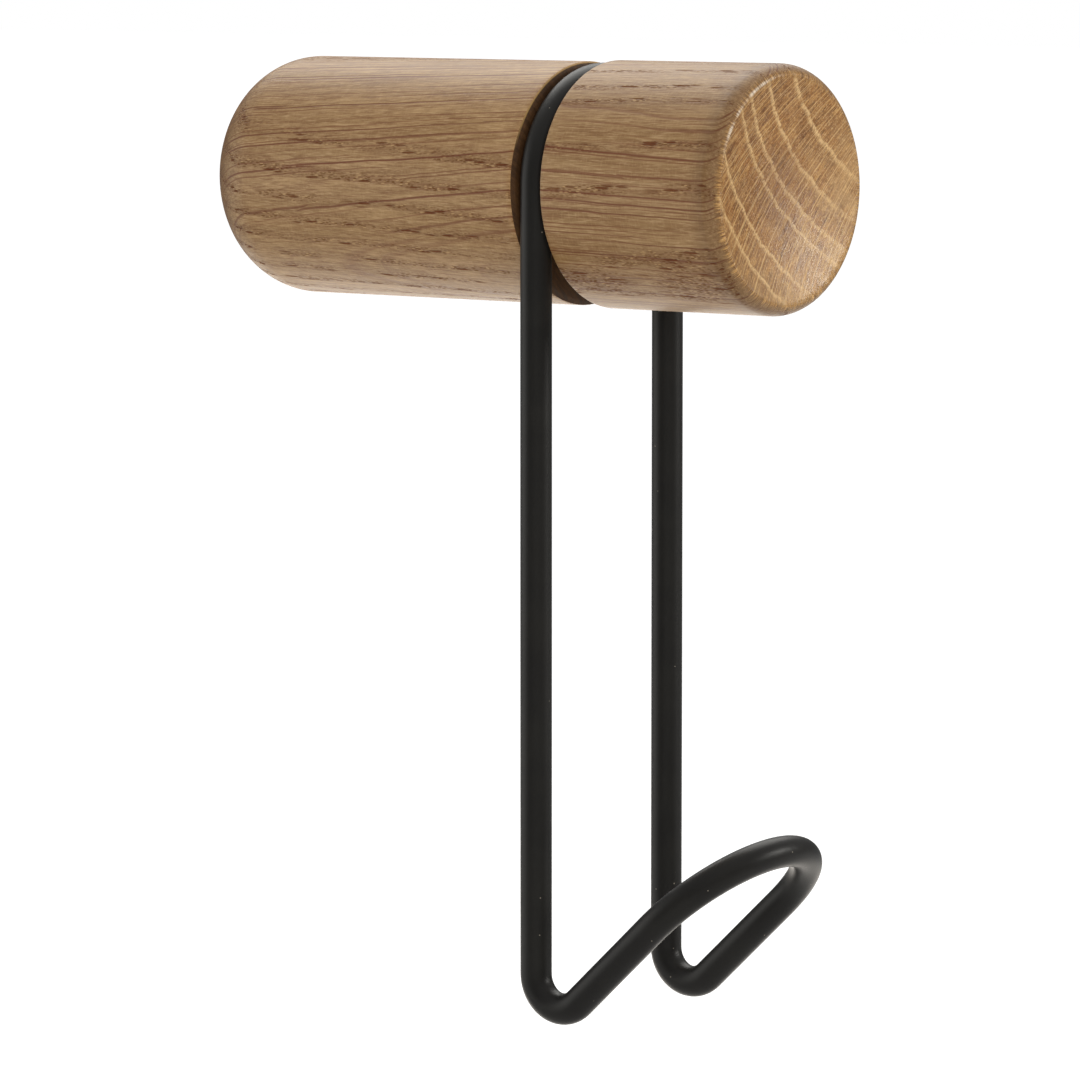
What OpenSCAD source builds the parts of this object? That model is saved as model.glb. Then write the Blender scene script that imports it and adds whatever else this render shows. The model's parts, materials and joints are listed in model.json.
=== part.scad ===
// Single wall hook: a round oak peg that stands out from the wall, a separate oak knob on its
// front end, and a closed loop of steel wire that hangs in the groove between them and turns up
// into a hook at the bottom.
//
// The origin is the centre of the peg's back end, on the wall. The wall is the plane y = 0, the
// peg points along -Y, +X is to the side and +Z is up. All sizes are in millimetres.

/* [Rear peg] */
// Diameter of the rear peg
peg_d = 39.5; // [36:0.5:50]
// Length of the rear peg, from the wall to its front face
peg_len = 69.8; // [60:0.1:120]
// Radius of the rounded edge at the wall end
peg_back_r = 12.5; // [2:0.5:12.5]
// Bevel of the front rim, measured across the radius
peg_bevel_radial = 0.8; // [0.2:0.1:2]
// Bevel of the front rim, measured along the peg
peg_bevel_axial = 0.5; // [0.2:0.1:2]

/* [Front knob] */
// Diameter of the front knob
knob_d = 40; // [36:0.5:50]
// Length of the front knob, from the groove to the crest of its rim
knob_len = 34.9; // [24:0.1:60]
// Radius of the rounding that leads up to the crest
knob_rim_r = 3; // [2:0.5:5]
// Width of that rounded rim, from the knob's side to the crest
knob_rim_w = 1.8; // [0.8:0.1:2]
// Depth of the dish in the front face
dish_depth = 2.5; // [0.5:0.5:5]
// Bevel of the back edge, at the groove
knob_back_bevel = 0.3; // [0.1:0.1:1]

/* [Neck] */
// Diameter of the collar between peg and knob, which the wire hangs on
neck_d = 28.7; // [20:0.1:30]
// Width of the groove, which is the length of the collar
groove_w = 5.8; // [5.5:0.1:8]
// Bevel of the collar's bore at each end
collar_bevel = 0.5; // [0.2:0.1:1]

/* [Wire hook] */
// Diameter of the coated wire
wire_d = 5.1; // [3:0.1:5.4]
// Drop from the peg's axis to the centres of the bottom bends
hook_drop = 126.8; // [60:0.1:200]
// Radius of the bottom bends, to the centre of the wire
bend_r = 5.3; // [4:0.1:10]
// Angle of the rising arms above level
arm_angle = 42.4; // [20:0.1:60]
// Length of the straight stretch of each arm
arm_len = 20.2; // [5:0.1:40]
// Gap between the wire and the collar, across the radius
neck_gap = 0.1; // [0.05:0.05:0.2]
// Gap between the wire and the peg's front face
face_gap = 0.15; // [0.1:0.05:0.2]

/* [Hidden fixings] */
// Thread diameter of the stud that joins peg and knob
stud_d = 6; // [5:1:6]
// Thread pitch of the joining stud
stud_pitch = 1; // [0.8:0.2:1]
// Length of the joining stud
stud_len = 36; // [30:1:40]
// Outer diameter of the threaded inserts that the stud screws into
join_insert_d = 10; // [9:0.5:12]
// Length of each of those two inserts
join_insert_len = 15; // [12:1:18]
// Core diameter of the M8 thread in the wall insert
wall_bore_d = 6.8; // [6.6:0.1:7]
// Outer diameter of the wall insert
wall_insert_d = 12; // [11:0.5:13]
// Length of the wall insert
wall_insert_len = 20; // [15:1:30]
// Pitch of the coarse outer thread of all inserts
insert_pitch = 2.5; // [2:0.5:3]
// Width and depth of the screwdriver slot in each insert
drive_slot = 1.5; // [1:0.1:2]

/* [Hidden] */

$fn = 128;
WIRE_FN = 64;              // facets round the wire's section
EPS = 0.01;                // overshoot of a slot through a face
OVERCUT = 1;               // how far the larger cuts run past the solid
BEND_LAP = 0.6;            // degrees by which each bottom bend runs on inside its arm
LAP_SWELL = 0.01;          // how much thicker the arms are, so that they enclose that lap
STUD_THREAD_SHARE = 0.54;  // depth of the stud's thread, as a share of its pitch
INSERT_THREAD_SHARE = 0.3; // depth of the inserts' outer thread, as a share of its pitch
OAK = "#b98f62";
BLACK = "#2a2927";
BRASS = "#c2a14d";
ZINC = "#b4b7ba";

peg_r = peg_d / 2;
knob_r = knob_d / 2;
wire_r = wire_d / 2;
knob_back = peg_len + groove_w;                 // distance from the wall to the knob's back face
loop_r = neck_d / 2 + neck_gap + wire_r;        // half the spacing of the legs, and the arch's radius
hook_plane = peg_len + face_gap + wire_r;       // distance from the wall to the plane of the legs
crest_r = knob_r - knob_rim_w;                  // radius of the sharp crest round the dish
rim_centre_r = knob_r - knob_rim_r;             // where the rim's rounding is centred: from the axis,
rim_centre = knob_len                           // and from the knob's back face
    - sqrt(knob_rim_r * knob_rim_r - (crest_r - rim_centre_r) * (crest_r - rim_centre_r));
dish_r = (crest_r * crest_r + dish_depth * dish_depth) / (2 * dish_depth);
stud_depth = STUD_THREAD_SHARE * stud_pitch;    // depth of the stud's thread
stud_clearance = 0.25;                          // gap between the stud and the collar's bore
insert_depth = INSERT_THREAD_SHARE * insert_pitch;  // depth of the inserts' outer thread
pilot_extra = 3;                                // how much deeper each pilot hole is than its insert
stud_start = knob_back - groove_w / 2 - stud_len / 2;

// Moves a solid drawn upwards from the origin so that it runs away from the wall,
// starting at the given distance from it.
module from_wall(distance) {
    translate([0, -distance, 0])
        rotate([90, 0, 0])
            children();
}

// The same, but running back towards the wall.
module to_wall(distance) {
    translate([0, -distance, 0])
        rotate([-90, 0, 0])
            children();
}

// A rod with a ridge for each turn of its thread and a bevelled end at top and bottom.
module threaded_rod(d, depth, pitch, length) {
    turns = floor(length / pitch);
    lead = (length - turns * pitch) / 2;
    root = d / 2 - depth;
    ridges = [for (i = [0:turns - 1], side = [0, 1])
        side == 0 ? [root, lead + i * pitch] : [d / 2, lead + (i + 0.5) * pitch]];
    rotate_extrude()
        polygon(concat([[0, 0], [root, 0]], ridges, [[root, length - lead], [root, length], [0, length]]));
}

// The outside of a threaded insert.
module insert_body(d, length) {
    threaded_rod(d, insert_depth, insert_pitch, length);
}

// The cut in the wood that an insert fills, with the rest of its pilot hole.
module insert_cut(d, length) {
    insert_body(d, length);
    cylinder(d = d - 2 * insert_depth, h = length + pilot_extra);
}

// The slot across the outer end of an insert.
module slot_cut(d) {
    translate([0, 0, drive_slot / 2])
        cube([d + OVERCUT, drive_slot, drive_slot + EPS], center = true);
}

// The threaded stud, along the axis of peg and knob.
module stud_body() {
    from_wall(stud_start)
        threaded_rod(stud_d, stud_depth, stud_pitch, stud_len);
}

// The rear peg: a cylinder with a large rounding at the wall end and a bevelled front rim.
module rear_peg() {
    color(OAK)
        difference() {
            from_wall(0)
                rotate_extrude()
                    difference() {
                        union() {
                            translate([0, peg_back_r])
                                square([peg_r, peg_len - peg_back_r]);
                            square([peg_r - peg_back_r, peg_len / 2]);
                            intersection() {
                                translate([peg_r - peg_back_r, peg_back_r])
                                    circle(r = peg_back_r);
                                square([peg_r, 2 * peg_back_r]);
                            }
                        }
                        polygon([[peg_r, peg_len - peg_bevel_axial],
                                 [peg_r + OVERCUT, peg_len - peg_bevel_axial],
                                 [peg_r + OVERCUT, peg_len + OVERCUT],
                                 [peg_r - peg_bevel_radial, peg_len + OVERCUT],
                                 [peg_r - peg_bevel_radial, peg_len]]);
                    }
            from_wall(0)
                insert_cut(wall_insert_d, wall_insert_len);
            to_wall(peg_len)
                insert_cut(join_insert_d, join_insert_len);
        }
}

// The collar clamped between peg and knob.
module neck_collar() {
    bore_r = stud_d / 2 + stud_clearance;
    color(OAK)
        from_wall(peg_len)
            rotate_extrude()
                polygon([[bore_r + collar_bevel, 0],
                         [neck_d / 2, 0],
                         [neck_d / 2, groove_w],
                         [bore_r + collar_bevel, groove_w],
                         [bore_r, groove_w - collar_bevel],
                         [bore_r, collar_bevel]]);
}

// The front knob: a cylinder with a rounded front rim and a shallow dish in its front face.
module front_knob() {
    color(OAK)
        difference() {
            from_wall(knob_back)
                rotate_extrude()
                    difference() {
                        union() {
                            translate([0, knob_back_bevel])
                                square([knob_r, rim_centre - knob_back_bevel]);
                            square([rim_centre_r, rim_centre + knob_rim_r]);
                            translate([rim_centre_r, rim_centre])
                                circle(r = knob_rim_r);
                            polygon([[0, 0],
                                     [knob_r - knob_back_bevel, 0],
                                     [knob_r, knob_back_bevel],
                                     [0, knob_back_bevel]]);
                        }
                        translate([0, knob_len - dish_depth + dish_r])
                            circle(r = dish_r);
                    }
            from_wall(knob_back)
                insert_cut(join_insert_d, join_insert_len);
        }
}

// A curved stretch of wire in the XY plane, starting at +X and turning towards +Y.
module wire_bend(radius, angle, r = wire_r) {
    rotate_extrude(angle = angle)
        translate([radius, 0])
            circle(r = r, $fn = WIRE_FN);
}

// A straight stretch of wire along +Z.
module wire_run(length, r = wire_r) {
    cylinder(r = r, h = length, $fn = WIRE_FN);
}

// The arch over the collar, the two legs and the two bottom bends.
module hook_legs() {
    from_wall(hook_plane)
        wire_bend(loop_r, 180);
    for (side = [-1, 1]) {
        translate([side * loop_r, -hook_plane, -hook_drop])
            wire_run(hook_drop);
        translate([side * loop_r, -hook_plane - bend_r, -hook_drop])
            rotate([-90, 0, 90])
                wire_bend(bend_r, 90 + arm_angle + BEND_LAP);
    }
}

// The two rising arms and the round tip where they meet.
module hook_arms() {
    arm_r = wire_r + LAP_SWELL;
    arm_y = hook_plane + bend_r + bend_r * sin(arm_angle);
    arm_z = hook_drop + bend_r * cos(arm_angle);
    translate([0, -arm_y, -arm_z])
        rotate([180 - arm_angle, 0, 0]) {
            for (side = [-1, 1])
                translate([side * loop_r, 0, 0])
                    rotate([-90, 0, 0])
                        wire_run(arm_len, arm_r);
            translate([0, arm_len, 0])
                wire_bend(loop_r, 180, arm_r);
        }
}

// The wire hook, one closed loop.
module wire_hook() {
    color(BLACK)
        union() {
            hook_legs();
            hook_arms();
        }
}

// The stud that screws into both inserts and clamps the collar.
module joining_stud() {
    color(ZINC)
        stud_body();
}

// The insert in the front end of the peg.
module peg_insert() {
    color(BRASS)
        difference() {
            to_wall(peg_len)
                difference() {
                    insert_body(join_insert_d, join_insert_len);
                    slot_cut(join_insert_d);
                }
            stud_body();
        }
}

// The insert in the back of the knob.
module knob_insert() {
    color(BRASS)
        difference() {
            from_wall(knob_back)
                difference() {
                    insert_body(join_insert_d, join_insert_len);
                    slot_cut(join_insert_d);
                }
            stud_body();
        }
}

// The insert in the back of the peg, which takes the wall stud.
module wall_insert() {
    color(BRASS)
        from_wall(0)
            difference() {
                insert_body(wall_insert_d, wall_insert_len);
                slot_cut(wall_insert_d);
                translate([0, 0, -OVERCUT])
                    cylinder(d = wall_bore_d, h = wall_insert_len + 2 * OVERCUT);
            }
}

rear_peg();
neck_collar();
front_knob();
wire_hook();
joining_stud();
peg_insert();
knob_insert();
wall_insert();
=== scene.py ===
"""The looks of the wall hook: turned oak peg, collar and knob, black coated wire, brass and zinc fixings.

Everything is in metres in the CAD frame: the wall is the plane y = 0, the peg points along -Y and +Z is
up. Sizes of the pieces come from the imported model's boxes; the oak's own figure is given in millimetres.
"""
import json
import math

import bmesh
import bpy
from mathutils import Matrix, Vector


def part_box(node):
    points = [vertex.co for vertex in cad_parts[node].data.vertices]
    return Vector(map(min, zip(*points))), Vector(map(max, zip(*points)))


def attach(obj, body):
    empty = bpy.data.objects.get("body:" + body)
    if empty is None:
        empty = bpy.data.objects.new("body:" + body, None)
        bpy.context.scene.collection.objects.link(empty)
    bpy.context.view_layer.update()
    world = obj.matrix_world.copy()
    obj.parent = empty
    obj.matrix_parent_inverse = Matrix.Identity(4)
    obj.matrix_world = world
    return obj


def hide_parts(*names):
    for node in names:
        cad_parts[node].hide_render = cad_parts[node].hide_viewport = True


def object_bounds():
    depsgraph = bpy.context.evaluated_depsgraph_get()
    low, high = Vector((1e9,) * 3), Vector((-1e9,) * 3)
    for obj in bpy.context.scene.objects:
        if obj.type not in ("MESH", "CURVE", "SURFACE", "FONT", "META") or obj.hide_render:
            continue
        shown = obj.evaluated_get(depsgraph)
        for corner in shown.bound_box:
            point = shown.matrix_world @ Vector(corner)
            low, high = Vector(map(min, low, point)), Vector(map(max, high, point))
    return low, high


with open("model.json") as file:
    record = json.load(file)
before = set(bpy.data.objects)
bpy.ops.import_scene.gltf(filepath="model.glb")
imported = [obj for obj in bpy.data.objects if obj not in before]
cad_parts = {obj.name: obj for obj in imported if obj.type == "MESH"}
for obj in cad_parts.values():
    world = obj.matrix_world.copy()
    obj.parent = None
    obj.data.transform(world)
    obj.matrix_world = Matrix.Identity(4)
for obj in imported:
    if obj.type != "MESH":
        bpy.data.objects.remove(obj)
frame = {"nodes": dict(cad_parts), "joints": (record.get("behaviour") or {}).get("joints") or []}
CAD_LOW, CAD_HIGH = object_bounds()

MM = 0.001

# ---------------------------------------------------------------- sizes read from the frame
PEG_LOW, PEG_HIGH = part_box("rear_peg")
COLLAR_LOW, COLLAR_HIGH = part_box("neck_collar")
KNOB_LOW, KNOB_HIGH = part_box("front_knob")
WIRE_LOW, WIRE_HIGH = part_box("wire_hook")
WALL_INSERT_LOW, WALL_INSERT_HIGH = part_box("wall_insert")
PEG_INSERT_LOW, PEG_INSERT_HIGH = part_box("peg_insert")
KNOB_INSERT_LOW, KNOB_INSERT_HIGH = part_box("knob_insert")
STUD_LOW, STUD_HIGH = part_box("joining_stud")

PEG_R = PEG_HIGH.x
PEG_FRONT = -PEG_LOW.y
KNOB_R = KNOB_HIGH.x
KNOB_BACK = -KNOB_HIGH.y
KNOB_CREST = -KNOB_LOW.y
COLLAR_R = COLLAR_HIGH.x
HOOK_PLANE = -frame["joints"][0]["pos_m"][1]
WIRE_R = HOOK_PLANE + WIRE_HIGH.y
LOOP_R = WIRE_HIGH.x - WIRE_R

# ---------------------------------------------------------------- shapes inside those boxes
PEG_BACK_R = 12.5 * MM        # rounding at the wall end
PEG_BEVEL = (0.8 * MM, 0.5 * MM)   # front rim, across and along
PEG_BORE_EXTRA = 3 * MM       # how much deeper each pilot hole is than its insert
KNOB_RIM_R = 3 * MM           # rounding that leads up to the crest round the dish
KNOB_RIM_W = 1.8 * MM         # width of that rim, from the knob's side to the crest
KNOB_BACK_BEVEL = 0.3 * MM
DISH_DEPTH = 2.5 * MM
EDGE_BREAK = 0.15 * MM        # rounding of the other sharp edges of the wood
COLLAR_BEVEL = 0.5 * MM
BORE_CLEARANCE = 0.25 * MM    # round the stud in the collar
BEND_R = 5.3 * MM             # bottom bends of the wire
ARM_ANGLE = math.radians(42.4)
ARM_LEN = 20.2 * MM
BEND_CENTRE_Z = WIRE_LOW.z + WIRE_R + BEND_R

ON_AXIS = 1e-7                # a smaller radius than this is on the axis
TURNED_SEGMENTS = 320
COLLAR_SEGMENTS = 192
WIRE_SEGMENTS = 40
WIRE_STEP = 0.9 * MM


# ---------------------------------------------------------------- camera
AZIMUTH, ELEVATION = math.radians(-50.753), math.radians(5.751)
DISTANCE = 1.02758
SIDE_SHIFT, UP_SHIFT = 2.871 * MM, -1.578 * MM
LENS_MM = 208.595


def camera():
    """Makes the camera, at the photograph's angle, looking a little to one side of the CAD box's centre.
    Returns the level direction towards it."""
    back = Vector((
        math.sin(AZIMUTH) * math.cos(ELEVATION),
        -math.cos(AZIMUTH) * math.cos(ELEVATION),
        math.sin(ELEVATION),
    ))
    right = Vector((math.cos(AZIMUTH), math.sin(AZIMUTH), 0))
    up = back.cross(right)
    data = bpy.data.cameras.new("camera")
    data.lens = LENS_MM
    data.sensor_width = 36
    data.clip_start, data.clip_end = 0.01, 100
    cam = bpy.data.objects.new("camera", data)
    bpy.context.scene.collection.objects.link(cam)
    centre = (CAD_LOW + CAD_HIGH) / 2
    cam.location = centre + back * DISTANCE + right * SIDE_SHIFT + up * UP_SHIFT
    cam.rotation_mode = "QUATERNION"
    cam.rotation_quaternion = (-back).to_track_quat("-Z", "Y")
    bpy.context.scene.camera = cam
    return Vector((back.x, back.y, 0)).normalized()


# ---------------------------------------------------------------- node graphs
def tint(code):
    """A colour socket's value from an sRGB hex code."""
    channels = [int(code[i:i + 2], 16) / 255 for i in (1, 3, 5)]
    linear = [c / 12.92 if c <= 0.04045 else ((c + 0.055) / 1.055) ** 2.4 for c in channels]
    return (*linear, 1)


class Graph:
    """A material's nodes, made by short calls. A value is a number, a tuple or another node's output."""

    def __init__(self, name):
        self.material = bpy.data.materials.new(name)
        self.material.use_nodes = True
        self.nodes = self.material.node_tree.nodes
        self.links = self.material.node_tree.links
        self.nodes.clear()
        self.shader = self.nodes.new("ShaderNodeBsdfPrincipled")
        output = self.nodes.new("ShaderNodeOutputMaterial")
        self.links.new(self.shader.outputs[0], output.inputs["Surface"])

    def put(self, socket, value):
        if isinstance(value, bpy.types.NodeSocket):
            self.links.new(value, socket)
        else:
            socket.default_value = value

    def node(self, kind, inputs=(), **settings):
        made = self.nodes.new(kind)
        for key, value in settings.items():
            setattr(made, key, value)
        for key, value in dict(inputs).items():
            self.put(made.inputs[key], value)
        return made

    def math(self, operation, a, b=0.0, c=0.0, clamp=False):
        made = self.node("ShaderNodeMath", {0: a, 1: b}, operation=operation, use_clamp=clamp)
        if operation in ("MULTIPLY_ADD", "COMPARE", "SMOOTH_MIN", "SMOOTH_MAX"):
            self.put(made.inputs[2], c)
        return made.outputs[0]

    def add(self, a, b):
        return self.math("ADD", a, b)

    def sub(self, a, b):
        return self.math("SUBTRACT", a, b)

    def mul(self, a, b):
        return self.math("MULTIPLY", a, b)

    def most(self, a, b):
        return self.math("MAXIMUM", a, b)

    def least(self, a, b):
        return self.math("MINIMUM", a, b)

    def length(self, a, b):
        return self.math("SQRT", self.math("MULTIPLY_ADD", a, a, self.mul(b, b)))

    def step(self, value, low, high, to_low=0.0, to_high=1.0):
        """A smooth step of value, from to_low at low to to_high at high."""
        made = self.node("ShaderNodeMapRange", interpolation_type="SMOOTHSTEP")
        for i, v in enumerate((value, low, high, to_low, to_high)):
            self.put(made.inputs[i], v)
        return made.outputs[0]

    def vector(self, x, y, z):
        return self.node("ShaderNodeCombineXYZ", {0: x, 1: y, 2: z}).outputs[0]

    def split(self, vector):
        return self.node("ShaderNodeSeparateXYZ", {0: vector}).outputs

    def noise(self, at, scale=1.0, detail=2.0, roughness=0.5):
        """Noise from 0 to 1 with its middle at 0.5."""
        inputs = {"Vector": at, "Scale": scale, "Detail": detail, "Roughness": roughness}
        return self.node("ShaderNodeTexNoise", inputs).outputs["Fac"]

    def cells(self, at, randomness=1.0, dimensions="3D"):
        """Distance to the nearest of a set of scattered points, its colour and its place."""
        made = self.node(
            "ShaderNodeTexVoronoi",
            {"Vector": at, "Scale": 1.0, "Randomness": randomness},
            voronoi_dimensions=dimensions,
        )
        return made.outputs["Distance"], made.outputs["Color"], made.outputs["Position"]

    def mix(self, share, a, b):
        made = self.node("ShaderNodeMix", data_type="RGBA")
        self.put(made.inputs[0], share)
        self.put(made.inputs[6], a)
        self.put(made.inputs[7], b)
        return made.outputs[2]

    def paint(self, colour, *layers):
        """The colour with layers laid over it, each a share and either a colour's hex code or a socket."""
        for share, layer in layers:
            colour = self.mix(share, colour, tint(layer) if isinstance(layer, str) else layer)
        return colour

    def blend(self, share, a, b):
        """A number that is a where share is 0 and b where it is 1."""
        made = self.node("ShaderNodeMix", {0: share, 2: a, 3: b}, data_type="FLOAT")
        return made.outputs[0]

    def bump(self, height, distance, strength):
        made = self.node("ShaderNodeBump", {"Height": height, "Distance": distance, "Strength": strength})
        return made.outputs[0]

    def place(self, scale=1000.0):
        """The point on the piece in the row frame, in millimetres unless scale says otherwise."""
        spot = self.node("ShaderNodeTexCoord").outputs["Object"]
        return self.node("ShaderNodeVectorMath", {0: spot, "Scale": scale}, operation="SCALE").outputs[0]

    def finish(self, **inputs):
        for key, value in inputs.items():
            self.put(self.shader.inputs[key.replace("_", " ")], value)
        return self.material


# ---------------------------------------------------------------- oak
# Sizes in millimetres that the oak's figure is tied to.
KNOB_CREST_R = (KNOB_R - KNOB_RIM_W) / MM
KNOB_FRONT = KNOB_CREST / MM
PEG_RIM_R = PEG_R / MM
PEG_RIM = PEG_FRONT / MM
PEG_MIDDLE = 40.0             # from here on, end grain of the peg belongs to its neck end
RING_BLUR = 0.25              # how far before its start a growth ring begins to show
FAR = 1000.0                  # more than any distance between growth rings
# Shares of x and z that point across the knob's face to its upper left and its lower right, as seen from
# in front and to the left.
# These directions place the painted highlight on the crest and the painted light and sheen on the dish.
UPPER_LEFT = (-0.62, 0.78)
LOWER_RIGHT = (0.8, -0.6)


def oak(name, pith, lean, middle, rings, seed, turned_face=False):
    """Oak cut from a trunk whose pith passes (x, z) = pith at the distance middle from the wall, and moves
    by lean for each millimetre further out. rings are the radii of the growth rings. All in millimetres.
    turned_face is for the knob, whose front shows clean end grain. The peg's end grain is plain and rough at
    the wall, and in the neck it is painted dark as shade in the groove, like the collar's."""
    g = Graph(name)
    spot = g.place()
    x, y, z = g.split(spot)
    outward = g.mul(y, -1.0)
    along = g.sub(outward, middle)

    # The trunk's own directions: out from the pith, round it and along it.
    def bend(at_start, turn, pace, seed_share):
        """How far the pith is from the wood on one axis, with a slow wave in it."""
        drawn = g.vector(g.mul(x, 0.05), g.mul(along, pace), g.add(g.mul(z, 0.05), seed * seed_share))
        wave = g.mul(g.sub(g.noise(drawn, 1.0, 1.0), 0.5), 0.4)
        return g.sub(at_start, g.math("MULTIPLY_ADD", along, turn, wave))

    out_x = bend(g.sub(x, pith[0]), lean[0], 0.035, 1.0)
    out_z = bend(g.sub(z, pith[1]), lean[1], 0.06, 5.0)
    radius = g.length(out_x, out_z)
    around = g.mul(g.math("ARCTAN2", out_z, out_x), math.hypot(*pith))

    def figure(round_it, along_it, out_of_it, detail, roughness=0.5):
        """Noise with this many waves to the millimetre round the pith, along the trunk and out from it."""
        at = g.vector(g.mul(around, round_it), g.mul(along, along_it), g.mul(radius, out_of_it))
        return g.noise(at, 1.0, detail, roughness)

    def sheet(round_it, second, detail):
        """Noise round the pith that also follows the socket second."""
        return g.noise(g.vector(g.mul(around, round_it), second, seed), 1.0, detail)

    def section(round_it, out_of_it, detail):
        """Noise over the end grain that doesn't change along the trunk."""
        return g.noise(g.vector(g.mul(around, round_it), seed, g.mul(radius, out_of_it)), 1.0, detail)

    # How far the surface faces along the trunk, which is where the end grain shows, and fibres torn
    # across the rim there.
    reach = g.length(x, z)
    rim_x, rim_z = g.math("DIVIDE", x, reach), g.math("DIVIDE", z, reach)
    torn = g.noise(g.vector(g.mul(rim_x, 95.0), g.mul(rim_z, 95.0), g.mul(y, 0.45)), 1.0, 3.0, 0.65)
    nx, ny, nz = g.split(g.node("ShaderNodeTexCoord").outputs["Normal"])
    end = g.add(g.math("ABSOLUTE", ny), g.mul(g.sub(torn, 0.5), 0.45))
    facing = g.step(end, 0.66, 0.92) if turned_face else g.step(end, 0.28, 0.68)
    # Where the surface runs along the rays, their cut edges fade.
    along_ray = g.math("ABSOLUTE", g.math("DIVIDE", g.sub(g.mul(nz, out_x), g.mul(nx, out_z)), radius))
    crossed = g.step(along_ray, 0.80, 0.98, 1.0, 0.30)

    # Growth rings: since is the distance outside the last ring's start.
    drift = sheet(0.30, g.mul(along, 0.04), 1.0)
    beads = sheet(2.2, g.mul(along, 0.22), 2.0)
    wavy = g.add(radius, g.add(g.mul(g.sub(drift, 0.5), 1.1), g.mul(g.sub(beads, 0.5), 0.55)))
    since = FAR
    for ring in rings:
        past = g.sub(wavy, ring)
        before = g.math("LESS_THAN", past, -RING_BLUR)
        since = g.least(g.math("MULTIPLY_ADD", before, FAR, past), since)
    inner = g.step(since, -RING_BLUR, 0.05)

    # Rays: thin sheets that run out from the pith, each a long lens as seen on the bark side.
    quiver = sheet(0.25, g.mul(along, 0.07), 2.0)

    def rays(width, height, thickness, blur, shift):
        """How much of a ray is here. Rays are width apart, height long and twice the thickness thick."""
        wander = g.math("MULTIPLY_ADD", g.sub(quiver, 0.5), 0.5, around)
        spread = g.vector(g.math("MULTIPLY_ADD", wander, 1 / width, shift), g.mul(along, 1 / height), 0.0)
        _, _, home = g.cells(spread, 0.9, "2D")
        home_x, home_y, _ = g.split(home)
        spread_x, spread_y, _ = g.split(spread)
        side = g.mul(g.math("ABSOLUTE", g.sub(spread_x, home_x)), width)
        tall = g.mul(g.sub(spread_y, home_y), 1.6)
        lens = g.mul(g.sub(1.0, g.mul(tall, tall)), thickness)
        return g.step(g.sub(side, lens), blur, -blur * 0.6)

    broad = rays(2.3, 120.0, 0.085, 0.075, seed * 0.37)
    middling = rays(1.8, 60.0, 0.05, 0.06, seed * 0.71)
    fine = rays(0.95, 15.0, 0.03, 0.06, seed * 0.53)

    # Pores: long narrow vessels, crowded just outside each ring's start.
    cluster = figure(0.40, 0.075, 0.5, 2.0)
    early = g.mul(inner, g.step(since, 1.7, 0.3))
    haze = g.mul(early, g.step(cluster, 0.30, 0.54))
    speck, speck_tone, _ = g.cells(g.vector(g.mul(around, 5.0), g.mul(along, 1.1), g.mul(radius, 4.2)))
    speck_shade, _, _ = g.split(speck_tone)
    specks = g.mul(g.step(speck, 0.52, 0.30), haze)
    dark_specks = g.mul(specks, g.math("LESS_THAN", speck_shade, 0.70))
    light_specks = g.mul(specks, g.math("GREATER_THAN", speck_shade, 0.78))
    dash, _, _ = g.cells(g.vector(g.mul(around, 1.7), g.mul(along, 0.17), g.mul(radius, 1.5)))
    first = g.mul(inner, g.step(since, 0.95, 0.45))
    dashes = g.mul(g.mul(g.step(dash, 0.35, 0.22), first), g.step(cluster, 0.28, 0.44))

    # Fibre: streaks along the trunk, and a faint shimmer across it.
    streak = figure(2.5, 0.05, 2.5, 4.0, 0.70)
    band = figure(0.55, 0.018, 0.55, 2.0)
    fibre = figure(4.6, 0.30, 4.6, 3.0, 0.65)
    shimmer = figure(0.9, 2.6, 0.9, 2.0, 0.6)

    # Side grain colour.
    pale, deep = ("#A4835A", "#937249") if turned_face else ("#AF8C60", "#9D7B50")
    side_colour = g.paint(
        tint(pale),
        (g.step(band, 0.35, 0.65), deep),
        (g.mul(g.step(since, 0.8, 3.2), 0.25), "#9C7848"),
        (g.step(streak, 0.41, 0.63, 0.0, 0.62), "#774E27"),
        (g.step(fibre, 0.48, 0.70, 0.0, 0.40), "#D2B184"),
        (g.step(fibre, 0.46, 0.28, 0.0, 0.46), "#6F4824"),
        (g.step(shimmer, 0.48, 0.72, 0.0, 0.13), "#CFAC7A"),
        (g.mul(haze, 0.42), "#764C24"),
        (g.mul(g.mul(fine, crossed), 0.32), "#7A4626"),
        (g.mul(g.mul(middling, crossed), 0.74), "#703B1B"),
        (g.mul(g.mul(broad, crossed), 0.88), "#6A3516"),
        (g.mul(light_specks, 0.55), "#CBA56D"),
        (g.mul(dark_specks, 0.60), "#5C3310"),
        (g.mul(dashes, 0.82), "#602C0D"),
    )

    # End grain colour.
    brush = figure(1.8, 0.05, 0.20, 3.0, 0.65)
    hairs = figure(5.2, 0.05, 0.42, 2.0, 0.6)
    offset = g.vector(seed * 3.1, seed * 7.7, seed * 1.3)
    moved = g.node("ShaderNodeVectorMath", {0: spot, 1: offset}, operation="ADD").outputs[0]
    grit = g.noise(moved, 3.2, 2.0, 0.7)
    if turned_face:
        # Ring lines in pieces, with pale plates of grain between them. Towards the lower right the ring
        # lines fade and the plates grow paler: a painted sheen.
        low_side = g.add(g.mul(x, LOWER_RIGHT[0]), g.mul(z, LOWER_RIGHT[1]))
        broken = g.step(section(0.35, 0.1, 2.0), 0.20, 0.42)
        strung = g.step(section(2.8, 1.6, 2.0), 0.30, 0.58)
        ring_line = g.mul(g.mul(inner, g.step(since, 1.0, 0.15)), g.mul(broken, strung))
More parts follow.
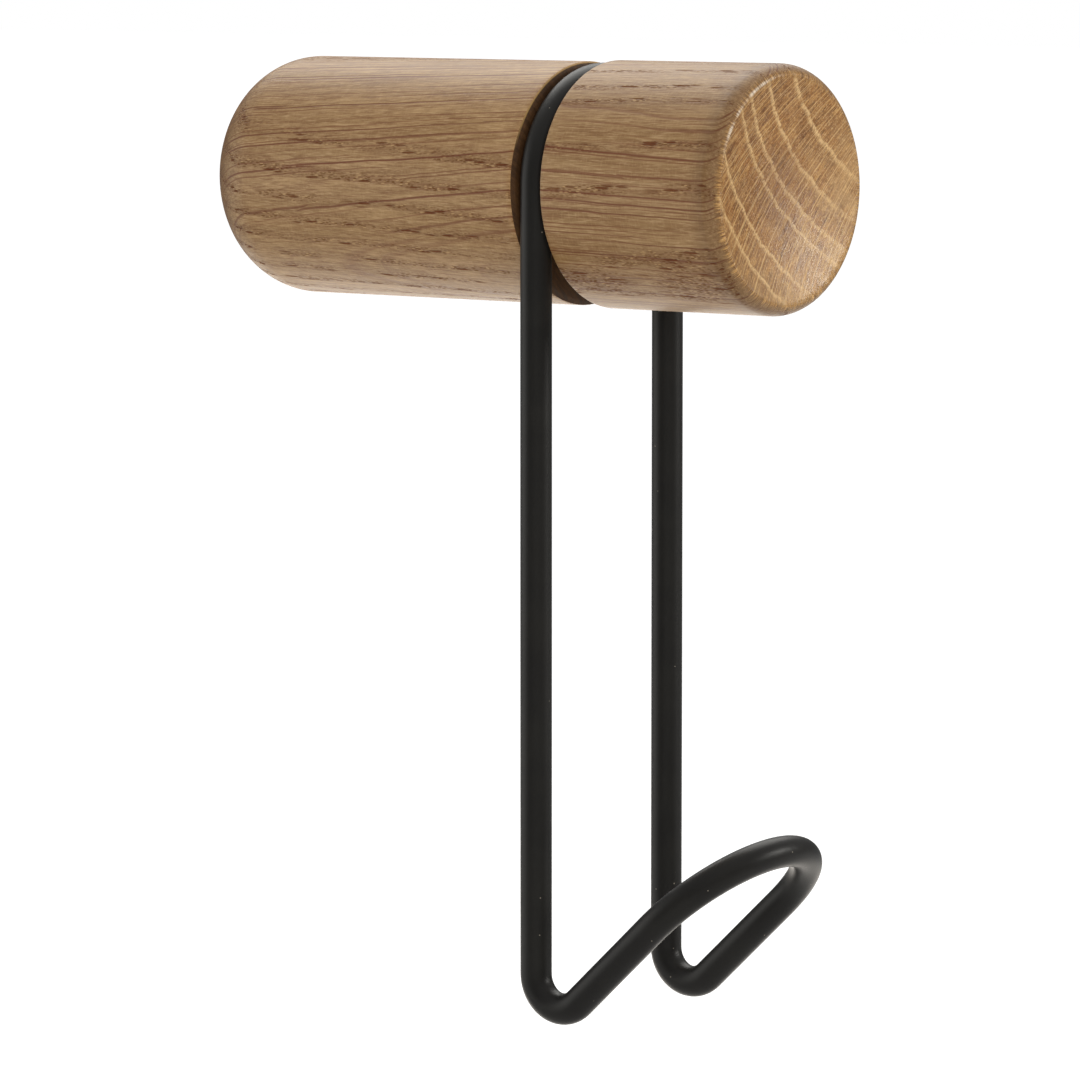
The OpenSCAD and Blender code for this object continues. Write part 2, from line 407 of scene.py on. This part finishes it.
        # Painted sheen: the ring lines fade towards the lower right.
        ring_line = g.mul(ring_line, g.step(low_side, 1.0, 14.0, 1.0, 0.62))
        plates_and_sheen = g.mul(g.step(section(0.16, 0.34, 1.0), 0.46, 0.62), g.step(low_side, -4.0, 8.0, 0.12, 0.34))
        tone = section(0.10, 0.22, 2.0)
        rough_cut = g.noise(moved, 2.9, 3.0, 0.75)
        ray_cut = g.step(section(1.1, 0.13, 2.0), 0.38, 0.62)
        # Painted light and shade: the middle of the dish is painted a little darker, and its rim is painted
        # paler except at the upper left.
        lit_side = g.add(g.mul(rim_x, UPPER_LEFT[0]), g.mul(rim_z, UPPER_LEFT[1]))
        painted_rim_light = g.mul(g.step(reach, 5.0, 16.5), g.step(lit_side, 0.55, -0.45))
        # Short torn strokes lie outside the crest, and a painted highlight lies in patches along its top.
        rim = g.step(g.add(reach, g.mul(torn, 1.6)), KNOB_CREST_R, KNOB_CREST_R + 1.0)
        strokes = g.mix(g.step(torn, 0.42, 0.60), tint("#5A3618"), tint("#C79A5C"))
        patches = g.noise(g.vector(g.mul(rim_x, 9.0), g.mul(rim_z, 9.0), seed), 1.0, 2.0)
        crest_highlight = g.step(g.math("ABSOLUTE", g.sub(reach, KNOB_CREST_R + 0.15)), 0.38, 0.08)
        crest_highlight = g.mul(g.mul(crest_highlight, g.step(lit_side, 0.80, 0.98)),
                      g.mul(g.step(patches, 0.30, 0.62), g.step(torn, 0.32, 0.55)))
        end_colour = g.paint(
            tint("#93602A"),
            (g.step(tone, 0.35, 0.65), "#7A4D22"),
            (g.step(brush, 0.48, 0.68, 0.0, 0.70), "#B88746"),
            (g.step(brush, 0.49, 0.30, 0.0, 0.78), "#4F2E12"),
            (g.step(grit, 0.42, 0.72, 0.0, 0.60), "#5B3717"),
            (g.step(hairs, 0.50, 0.68, 0.0, 0.65), "#CDA265"),
            # Pale plates of grain, painted paler towards the lower right as sheen.
            (plates_and_sheen, "#C19B68"),
            (g.step(rough_cut, 0.54, 0.68, 0.0, 0.42), "#DDBC8A"),
            (g.step(rough_cut, 0.48, 0.34, 0.0, 0.50), "#55320F"),
            (g.mul(g.mul(fine, ray_cut), 0.50), "#DBB479"),
            (g.mul(g.mul(middling, ray_cut), 0.62), "#DFBB85"),
            (g.mul(broad, 0.45), "#D9B47C"),
            (g.mul(ring_line, 0.72), "#E0BC86"),
            # Painted shade in the middle of the dish.
            (g.step(reach, 12.0, 3.0, 0.0, 0.30), "#6F4720"),
            # Painted light towards the rim, except at the upper left.
            (g.mul(painted_rim_light, 0.17), "#D6B486"),
            (g.mul(rim, 0.60), strokes),
            # Painted highlight along the top of the crest.
            (g.mul(crest_highlight, 0.62), "#F0E4D2"),
        )
        # Painted shade: the side grain darkens on its way to the rim.
        rim_shade = g.step(outward, KNOB_FRONT - 6.0, KNOB_FRONT - 1.5, 0.0, 0.40)
        side_colour = g.paint(side_colour, (rim_shade, "#50341C"))
    else:
        rim = 0.0
        brushed, gritty = g.step(brush, 0.30, 0.70), g.step(grit, 0.35, 0.75, 0.0, 0.45)
        wall_end = g.paint(tint("#6A4420"), (brushed, "#8C6434"), (gritty, "#57381A"))
        # Painted shade: end grain in the neck, down in the groove, is painted dark.
        shaded_neck_end = g.paint(tint("#3A2614"), (brushed, "#53381F"), (gritty, "#2C1C0E"))
        # A painted highlight: a thin gold line on the top of the peg's front bevel.
        bevel_highlight = g.mul(g.step(reach, PEG_RIM_R - 0.37, PEG_RIM_R - 0.23), g.step(z, 5.0, 13.0, 0.0, 0.50))
        bevel_highlight = g.mul(bevel_highlight, g.step(outward, PEG_RIM - 1.3, PEG_RIM - 0.8))
        in_neck = g.math("GREATER_THAN", outward, PEG_MIDDLE)
        end_colour = g.paint(wall_end, (in_neck, shaded_neck_end), (bevel_highlight, "#D9AE6E"))
    colour = g.mix(facing, side_colour, end_colour)

    # Relief and gloss.
    side_height = g.add(g.mul(fibre, 0.45), g.sub(g.mul(streak, 0.5), g.mul(dashes, 1.2)))
    side_height = g.sub(side_height, g.add(g.mul(broad, 0.3), g.mul(dark_specks, 0.6)))
    end_height = g.add(g.mul(hairs, 1.1), g.add(g.mul(brush, 0.8), g.mul(torn, g.mul(rim, 2.0))))
    height = g.blend(facing, side_height, end_height)
    side_rough = g.blend(g.most(dashes, dark_specks), g.step(fibre, 0.2, 0.8, 0.42, 0.54), 0.90)
    smoothest, roughest = (0.28, 0.42) if turned_face else (0.55, 0.70)
    return g.finish(
        Base_Color=colour,
        Roughness=g.blend(facing, side_rough, g.step(brush, 0.2, 0.8, smoothest, roughest)),
        Specular_IOR_Level=0.40,
        Normal=g.bump(height, 0.07 * MM, 0.85),
    )


# ---------------------------------------------------------------- metals and coating
def powder_coat(name):
    """Satin black powder coating: a fine orange-peel surface with a little dust on it."""
    g = Graph(name)
    spot = g.place()
    peel = g.noise(spot, 3.2, 2.0, 0.5)
    fine = g.noise(spot, 11.0, 2.0, 0.6)
    patch = g.noise(spot, 0.12, 2.0)
    dust_gap, dust_tone, _ = g.cells(g.node(
        "ShaderNodeVectorMath", {0: spot, "Scale": 0.55}, operation="SCALE").outputs[0])
    tone, _, _ = g.split(dust_tone)
    dust = g.mul(g.step(dust_gap, 0.075, 0.045), g.math("GREATER_THAN", tone, 0.72))
    colour = g.mix(g.step(patch, 0.3, 0.7), tint("#161514"), tint("#1B1A18"))
    colour = g.mix(g.step(fine, 0.35, 0.8, 0.0, 0.5), colour, tint("#211F1C"))
    colour = g.mix(g.mul(dust, 0.7), colour, tint("#8F877A"))
    return g.finish(
        Base_Color=colour,
        Roughness=g.step(fine, 0.2, 0.8, 0.36, 0.46),
        Specular_IOR_Level=0.23,
        Normal=g.bump(g.add(peel, g.mul(fine, 0.4)), 0.02 * MM, 0.5),
    )


def turned_metal(name, light, dark, feed, rough):
    """Bright turned metal, with tool marks round the peg's axis and a few darker stains."""
    g = Graph(name)
    spot = g.place()
    x, y, z = g.split(spot)
    reach = g.length(x, z)
    lathe_marks = g.noise(g.vector(g.mul(reach, feed), g.mul(y, feed), 0.0), 1.0, 3.0, 0.7)
    stain = g.noise(spot, 0.5, 3.0, 0.6)
    scratch = g.noise(g.vector(g.mul(x, 9.0), g.mul(y, 9.0), g.mul(z, 0.8)), 1.0, 2.0)
    colour = g.mix(g.step(stain, 0.35, 0.75), tint(light), tint(dark))
    colour = g.mix(g.step(scratch, 0.55, 0.75, 0.0, 0.3), colour, tint(dark))
    return g.finish(
        Base_Color=colour,
        Metallic=1.0,
        Roughness=g.step(g.add(lathe_marks, g.mul(stain, 0.3)), 0.3, 1.0, rough, rough + 0.2),
        Normal=g.bump(lathe_marks, 0.02 * MM, 0.5),
    )


# ---------------------------------------------------------------- turned wood
def arc(centre, radius, start, stop, count):
    """Points of (distance from the wall, radius) on an arc round centre, its angles in degrees from
    +distance."""
    angles = [math.radians(start + (stop - start) * i / count) for i in range(count + 1)]
    return [(centre[0] + radius * math.cos(a), centre[1] + radius * math.sin(a)) for a in angles]


def finer(points, step):
    """The same outline with no stretch longer than step."""
    out = [points[0]]
    for (d0, r0), (d1, r1) in zip(points, points[1:]):
        count = max(1, math.ceil(math.hypot(d1 - d0, r1 - r0) / step))
        out += [(d0 + (d1 - d0) * i / count, r0 + (r1 - r0) * i / count) for i in range(1, count + 1)]
    return out


def lathe(name, outline, segments, closed=False):
    """A solid turned about the peg's axis. The outline's points are (distance from the wall, radius), and
    it starts and ends on the axis unless it is a closed ring."""
    mesh = bpy.data.meshes.new(name)
    bm = bmesh.new()
    rows = []
    for distance, radius in outline:
        if radius < ON_AXIS:
            rows.append([bm.verts.new((0, -distance, 0))])
            continue
        row = []
        for i in range(segments):
            a = 2 * math.pi * i / segments
            row.append(bm.verts.new((radius * math.cos(a), -distance, radius * math.sin(a))))
        rows.append(row)
    pairs = list(zip(rows, rows[1:])) + ([(rows[-1], rows[0])] if closed else [])
    for low, high in pairs:
        for i in range(segments):
            j = (i + 1) % segments
            corners = (low[i % len(low)], low[j % len(low)], high[j % len(high)], high[i % len(high)])
            bm.faces.new(list(dict.fromkeys(corners)))
    bmesh.ops.recalc_face_normals(bm, faces=bm.faces)
    bm.to_mesh(mesh)
    bm.free()
    return finish_mesh(name, mesh)


def finish_mesh(name, mesh, sharp=34):
    """A shown object from a mesh, smooth except at edges sharper than that many degrees."""
    mesh.polygons.foreach_set("use_smooth", [True] * len(mesh.polygons))
    mesh.set_sharp_from_angle(angle=math.radians(sharp))
    obj = bpy.data.objects.new(name, mesh)
    bpy.context.scene.collection.objects.link(obj)
    return obj


def bore(depth_from, depth_to, radius, step=1.5 * MM):
    """The outline of a blind hole, from the axis at its bottom to its mouth."""
    return finer([(depth_to, 0), (depth_to, radius), (depth_from, radius)], step)


def make_peg():
    """The rear peg, from the bottom of the wall insert's hole round the outside to the joining insert's."""
    wall_bore = WALL_INSERT_HIGH.x
    wall_depth = -WALL_INSERT_LOW.y + PEG_BORE_EXTRA
    join_bore = PEG_INSERT_HIGH.x
    join_depth = -PEG_INSERT_HIGH.y - PEG_BORE_EXTRA
    outline = bore(0, wall_depth, wall_bore)
    outline += finer([(0, wall_bore), (0, PEG_R - PEG_BACK_R)], 0.8 * MM)[1:]
    outline += arc((PEG_BACK_R, PEG_R - PEG_BACK_R), PEG_BACK_R, 180, 90, 36)[1:]
    bevel_start = (PEG_FRONT - PEG_BEVEL[1], PEG_R)
    bevel_end = (PEG_FRONT, PEG_R - PEG_BEVEL[0])
    outline += finer([outline[-1], (bevel_start[0] - EDGE_BREAK, PEG_R)], 1.0 * MM)[1:]
    outline += [(bevel_start[0] + 0.4 * EDGE_BREAK, PEG_R - 0.5 * EDGE_BREAK)]
    outline += [(bevel_end[0] - 0.5 * EDGE_BREAK, bevel_end[1] + 0.6 * EDGE_BREAK)]
    outline += [(PEG_FRONT, bevel_end[1] - EDGE_BREAK)]
    outline += finer([outline[-1], (PEG_FRONT, join_bore)], 1.0 * MM)[1:]
    outline += list(reversed(bore(PEG_FRONT, join_depth, join_bore)))[1:]
    return lathe("peg_oak", outline, TURNED_SEGMENTS)


def make_knob():
    """The front knob, from the bottom of its insert's hole round the outside to the middle of the dish."""
    join_bore = KNOB_INSERT_HIGH.x
    join_depth = -KNOB_INSERT_LOW.y + PEG_BORE_EXTRA
    crest_r = KNOB_R - KNOB_RIM_W
    rim_centre_r = KNOB_R - KNOB_RIM_R
    rim_rise = math.sqrt(KNOB_RIM_R ** 2 - (crest_r - rim_centre_r) ** 2)
    rim_centre = KNOB_CREST - rim_rise
    crest_turn = math.degrees(math.asin(rim_rise / KNOB_RIM_R))
    dish_r = (crest_r ** 2 + DISH_DEPTH ** 2) / (2 * DISH_DEPTH)
    dish_centre = KNOB_CREST - DISH_DEPTH + dish_r
    half = math.degrees(math.asin(crest_r / dish_r))
    outline = bore(KNOB_BACK, join_depth, join_bore)
    outline += finer([outline[-1], (KNOB_BACK, KNOB_R - KNOB_BACK_BEVEL)], 1.0 * MM)[1:]
    outline += arc((KNOB_BACK + KNOB_BACK_BEVEL, KNOB_R - KNOB_BACK_BEVEL), KNOB_BACK_BEVEL, 180, 90, 4)[1:]
    outline += finer([outline[-1], (rim_centre, KNOB_R)], 0.8 * MM)[1:]
    outline += arc((rim_centre, rim_centre_r), KNOB_RIM_R, 90, 90 - crest_turn + 3, 16)[1:]
    outline += arc((dish_centre, 0), dish_r, 180 - half + 0.15, 180, 30)
    outline[-1] = (KNOB_CREST - DISH_DEPTH, 0)
    return lathe("knob_oak", outline, TURNED_SEGMENTS)


def make_collar():
    """The collar that the wire hangs on."""
    hole = STUD_HIGH.x + BORE_CLEARANCE
    near, far = -COLLAR_HIGH.y, -COLLAR_LOW.y
    corners = [
        (near + COLLAR_BEVEL, hole),
        (near, hole + COLLAR_BEVEL),
        (near, COLLAR_R - EDGE_BREAK),
        (near + EDGE_BREAK, COLLAR_R),
        (far - EDGE_BREAK, COLLAR_R),
        (far, COLLAR_R - EDGE_BREAK),
        (far, hole + COLLAR_BEVEL),
        (far - COLLAR_BEVEL, hole),
    ]
    return lathe("collar_oak", finer(corners + [corners[0]], 0.8 * MM)[:-1], COLLAR_SEGMENTS, closed=True)


# ---------------------------------------------------------------- wire
def wire_path():
    """Points along the middle of the closed loop of wire: one side from top to tip, then its mirror."""
    def straight(a, b):
        count = max(1, round((b - a).length / WIRE_STEP))
        return [a.lerp(b, i / count) for i in range(count)]

    def bend(centre, first, second, stop, step):
        """From centre + first, turning towards second."""
        count = max(2, round(stop * first.length / step))
        return [
            centre + first * math.cos(stop * i / count) + second * math.sin(stop * i / count)
            for i in range(count)
        ]

    sin_a, cos_a = math.sin(ARM_ANGLE), math.cos(ARM_ANGLE)
    rise = Vector((0, -cos_a, sin_a))
    arm_y = HOOK_PLANE + BEND_R + BEND_R * sin_a
    arm_z = BEND_CENTRE_Z - BEND_R * cos_a
    top = Vector((0, -HOOK_PLANE, 0))
    half = []
    half += bend(top, Vector((0, 0, LOOP_R)), Vector((LOOP_R, 0, 0)), math.pi / 2, WIRE_STEP)
    leg_top = top + Vector((LOOP_R, 0, 0))
    leg_end = Vector((LOOP_R, -HOOK_PLANE, BEND_CENTRE_Z))
    half += straight(leg_top, leg_end)
    bend_centre = leg_end - Vector((0, BEND_R, 0))
    half += bend(bend_centre, Vector((0, BEND_R, 0)), Vector((0, 0, -BEND_R)),
                 math.pi / 2 + ARM_ANGLE, 0.5 * WIRE_STEP)
    arm_start = Vector((LOOP_R, -arm_y, arm_z))
    arm_end = arm_start + rise * ARM_LEN
    half += straight(arm_start, arm_end)
    tip_centre = arm_end - Vector((LOOP_R, 0, 0))
    half += bend(tip_centre, Vector((LOOP_R, 0, 0)), rise * LOOP_R, math.pi / 2, WIRE_STEP)
    half.append(tip_centre + rise * LOOP_R)
    mirrored = [Vector((-p.x, p.y, p.z)) for p in reversed(half[1:-1])]
    return half + mirrored


def make_wire():
    """The wire hook, swept round its closed path with frames that don't twist."""
    path = wire_path()
    count = len(path)
    tangents = [(path[(i + 1) % count] - path[i - 1]).normalized() for i in range(count)]
    side = Vector((0, 1, 0))
    bm = bmesh.new()
    rows = []
    for point, tangent in zip(path, tangents):
        side = (side - tangent * side.dot(tangent)).normalized()
        other = tangent.cross(side)
        rows.append([
            bm.verts.new(point + (side * math.cos(a) + other * math.sin(a)) * WIRE_R)
            for a in (2 * math.pi * k / WIRE_SEGMENTS for k in range(WIRE_SEGMENTS))
        ])
    for i in range(count):
        low, high = rows[i], rows[(i + 1) % count]
        for k in range(WIRE_SEGMENTS):
            m = (k + 1) % WIRE_SEGMENTS
            bm.faces.new((low[k], low[m], high[m], high[k]))
    bmesh.ops.recalc_face_normals(bm, faces=bm.faces)
    mesh = bpy.data.meshes.new("hook_wire")
    bm.to_mesh(mesh)
    bm.free()
    return finish_mesh("hook_wire", mesh)


# ---------------------------------------------------------------- the pieces
KNOB_RINGS = [54.5, 61.0, 68.0, 74.0, 79.0, 82.2, 89.8, 94.8, 99.9, 106.0]
PEG_RINGS = [131.0 + 3.27 * i for i in range(13)]
COLLAR_RINGS = [60.0 + 4.1 * i for i in range(12)]


def dress():
    """Makes the detailed pieces and gives every piece its material."""
    peg = make_peg()
    peg.data.materials.append(oak("peg_wood", (96, -120), (0.078, 0.008), 35.0, PEG_RINGS, 1.0))
    knob = make_knob()
    knob.data.materials.append(oak("knob_wood", (57, 57), (0.034, -0.011), 110.0, KNOB_RINGS, 2.0, True))
    collar = make_collar()
    collar.data.materials.append(oak("collar_wood", (-70, 45), (0.02, 0.03), 72.0, COLLAR_RINGS, 3.0))
    wire = make_wire()
    wire.data.materials.append(powder_coat("black_powder_coat"))
    for obj, body, node, slot in (
        (peg, "peg", "rear_peg", "oak"),
        (knob, "peg", "front_knob", "oak"),
        (collar, "peg", "neck_collar", "oak"),
        (wire, "hook", "wire_hook", "black_coating"),
    ):
        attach(obj, body)
        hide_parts(node)
    brass = turned_metal("machined_brass", "#D8B566", "#A67F3A", 6.0, 0.22)
    zinc = turned_metal("bright_zinc", "#C9CDD1", "#8E9499", 5.0, 0.25)
    for node, material, slot in (
        ("wall_insert", brass, "brass"),
        ("peg_insert", brass, "brass"),
        ("knob_insert", brass, "brass"),
        ("joining_stud", zinc, "zinc_steel"),
    ):
        obj = frame["nodes"][node]
        if not obj.material_slots:
            obj.data.materials.append(material)
        obj.material_slots[0].link = "OBJECT"
        obj.material_slots[0].material = material


# ---------------------------------------------------------------- floor and light
FLOOR_DROP = 0.16
FLOOR_HALF = 12.0
FLOOR_GLOW, FLOOR_SEEN = 2.3, 0.80  # what the floor gives off behind the hook, and what it adds to a view
GLOW_START = (0.0, 0.35)      # where the glow begins and is full, behind the hook
GLOW_SIDE = (0.12, 0.40)      # where it starts to fade and is gone, to either side
GLOW_SPREAD = 0.09            # how much wider it gets with each metre
ROOM_RISE = (0.05, 0.85)      # heights of the sky between which the room brightens
ROOM_SIDES, ROOM_TOP = 0.13, 0.60
LAMP_COLOUR = (1.0, 0.985, 0.94)
# How far each lamp is from the hook's middle, as its share of the level way to the camera, of the level way
# to the camera's left, and up. Then its size and its power.
OVERHEAD = (-0.65, 0.0, 0.85, 1.0, 9.4)
FRONT = (1.2, 0.0, 0.15, 0.9, 8.6)
LEFT_SHEEN = (-0.1, 0.9, 0.0, 0.8, 3.0)
KNOB_SIDE_AT, KNOB_SIDE_SIZE, KNOB_SIDE_POWER = (0.55, -0.79, 0.27), 0.25, 4.0


def floor(level_camera):
    """A plain pale floor below the hook. Its stretch behind the hook gives off light."""
    g = Graph("pale_floor")
    spot = g.place(1.0)
    grain = g.noise(spot, 14.0, 3.0)
    x, y, _ = g.split(spot)
    behind = g.math("MULTIPLY_ADD", x, -level_camera.x, g.mul(y, -level_camera.y))
    aside = g.math("ABSOLUTE", g.math("MULTIPLY_ADD", x, level_camera.y, g.mul(y, -level_camera.x)))
    spread = g.sub(aside, g.mul(behind, GLOW_SPREAD))
    share = g.mul(g.step(behind, *GLOW_START), g.step(spread, GLOW_SIDE[1], GLOW_SIDE[0]))
    seen = g.node("ShaderNodeLightPath").outputs["Is Camera Ray"]
    material = g.finish(
        Base_Color=g.mix(g.step(grain, 0.3, 0.7), tint("#C4C4C4"), tint("#BEBEBE")),
        Roughness=0.9,
        Emission_Color=g.mix(seen, tint("#FFF6EA"), tint("#FFFFFF")),
        Emission_Strength=g.blend(seen, g.mul(share, FLOOR_GLOW), FLOOR_SEEN),
    )
    level = CAD_LOW.z - FLOOR_DROP
    mesh = bpy.data.meshes.new("floor")
    corners = [(sx * FLOOR_HALF, sy * FLOOR_HALF, level) for sx, sy in ((-1, -1), (1, -1), (1, 1), (-1, 1))]
    mesh.from_pydata(corners, [], [(0, 1, 2, 3)])
    mesh.materials.append(material)
    obj = bpy.data.objects.new("floor", mesh)
    bpy.context.scene.collection.objects.link(obj)


def soft_box(name, place, aim, size, power):
    """A square lamp at place that shines towards aim."""
    data = bpy.data.lights.new(name, "AREA")
    data.shape = "SQUARE"
    data.size = size
    data.energy = power
    data.color = LAMP_COLOUR
    obj = bpy.data.objects.new(name, data)
    bpy.context.scene.collection.objects.link(obj)
    obj.location = place
    obj.rotation_mode = "QUATERNION"
    obj.rotation_quaternion = (aim - place).to_track_quat("-Z", "Y")
    return obj


def room():
    """A world that is bright overhead and dim all round. The camera itself sees white."""
    world = bpy.data.worlds.new("studio")
    bpy.context.scene.world = world
    world.use_nodes = True
    nodes, links = world.node_tree.nodes, world.node_tree.links
    background = nodes["Background"]
    background.inputs["Color"].default_value = (1, 1, 1, 1)
    direction = nodes.new("ShaderNodeTexCoord")
    split = nodes.new("ShaderNodeSeparateXYZ")
    links.new(direction.outputs["Generated"], split.inputs[0])
    shade = nodes.new("ShaderNodeMapRange")
    shade.interpolation_type = "SMOOTHSTEP"
    for i, value in enumerate((*ROOM_RISE, ROOM_SIDES, ROOM_TOP), start=1):
        shade.inputs[i].default_value = value
    links.new(split.outputs[2], shade.inputs[0])
    seen = nodes.new("ShaderNodeLightPath")
    strength = nodes.new("ShaderNodeMix")
    strength.data_type = "FLOAT"
    links.new(seen.outputs["Is Camera Ray"], strength.inputs[0])
    links.new(shade.outputs[0], strength.inputs[2])
    strength.inputs[3].default_value = 1.0
    links.new(strength.outputs[0], background.inputs["Strength"])


def studio(level_camera):
    """A large soft lamp above and behind the hook, a small one on the knob's side, one in front that leaves
    no reflections, and one to the left that leaves nothing else."""
    room()
    centre = (CAD_LOW + CAD_HIGH) / 2
    left = Vector((level_camera.y, -level_camera.x, 0))

    def placed(name, towards, aside, up, size, power):
        place = centre + level_camera * towards + left * aside + Vector((0, 0, up))
        return soft_box(name, place, centre, size, power)

    placed("overhead", *OVERHEAD)
    soft_box("knob_side", centre + Vector(KNOB_SIDE_AT), centre, KNOB_SIDE_SIZE, KNOB_SIDE_POWER)
    placed("front", *FRONT).visible_glossy = False
    placed("left_sheen", *LEFT_SHEEN).visible_diffuse = False
    bpy.context.scene.view_settings.view_transform = "Standard"


level_camera = camera()
dress()
floor(level_camera)
studio(level_camera)
